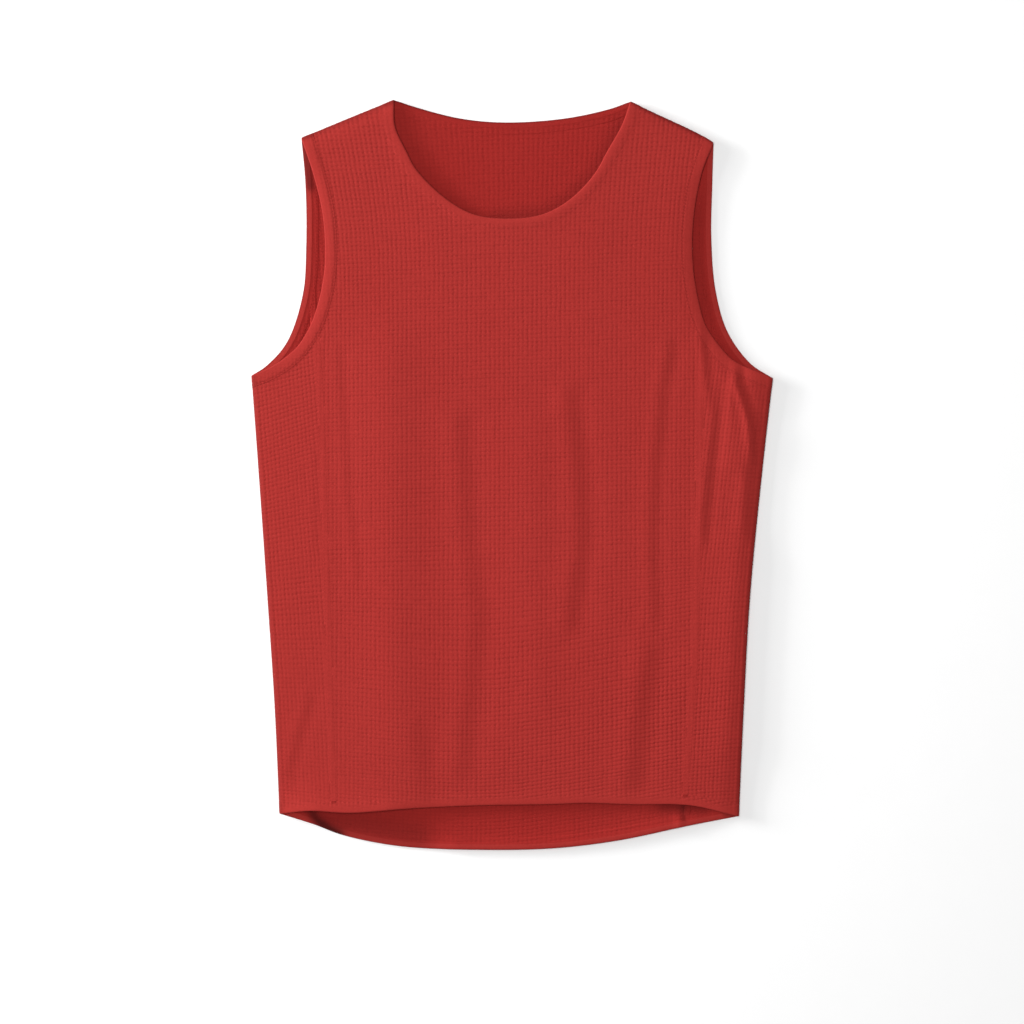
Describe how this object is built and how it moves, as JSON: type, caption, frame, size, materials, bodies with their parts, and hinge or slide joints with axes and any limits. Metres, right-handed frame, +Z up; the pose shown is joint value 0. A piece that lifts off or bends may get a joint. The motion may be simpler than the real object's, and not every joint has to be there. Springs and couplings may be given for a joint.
{
  "type": "sleeveless base layer",
  "caption": "Sleeveless round-neck base layer in red waffle knit, laid flat with its front up, with wrapped side panels, bound edges and a dropped back hem.",
  "frame": {"origin": "on the surface that the garment lies on, under the middle of its outline", "axes": "+X to the picture's right, +Y towards the neck, +Z up out of the front"},
  "size_m": [0.433, 0.623, 0.0068],
  "materials": {
    "waffle_knit": "matt red waffle knit",
    "edge_band": "matt red smooth knit"
  },
  "bodies": {
    "root": {"front_panel": "waffle_knit", "back_panel": "waffle_knit", "left_side_panel": "waffle_knit", "right_side_panel": "waffle_knit", "neck_band": "edge_band", "left_armhole_band": "edge_band", "right_armhole_band": "edge_band", "hem_band": "edge_band"}
  },
  "joints": []
}
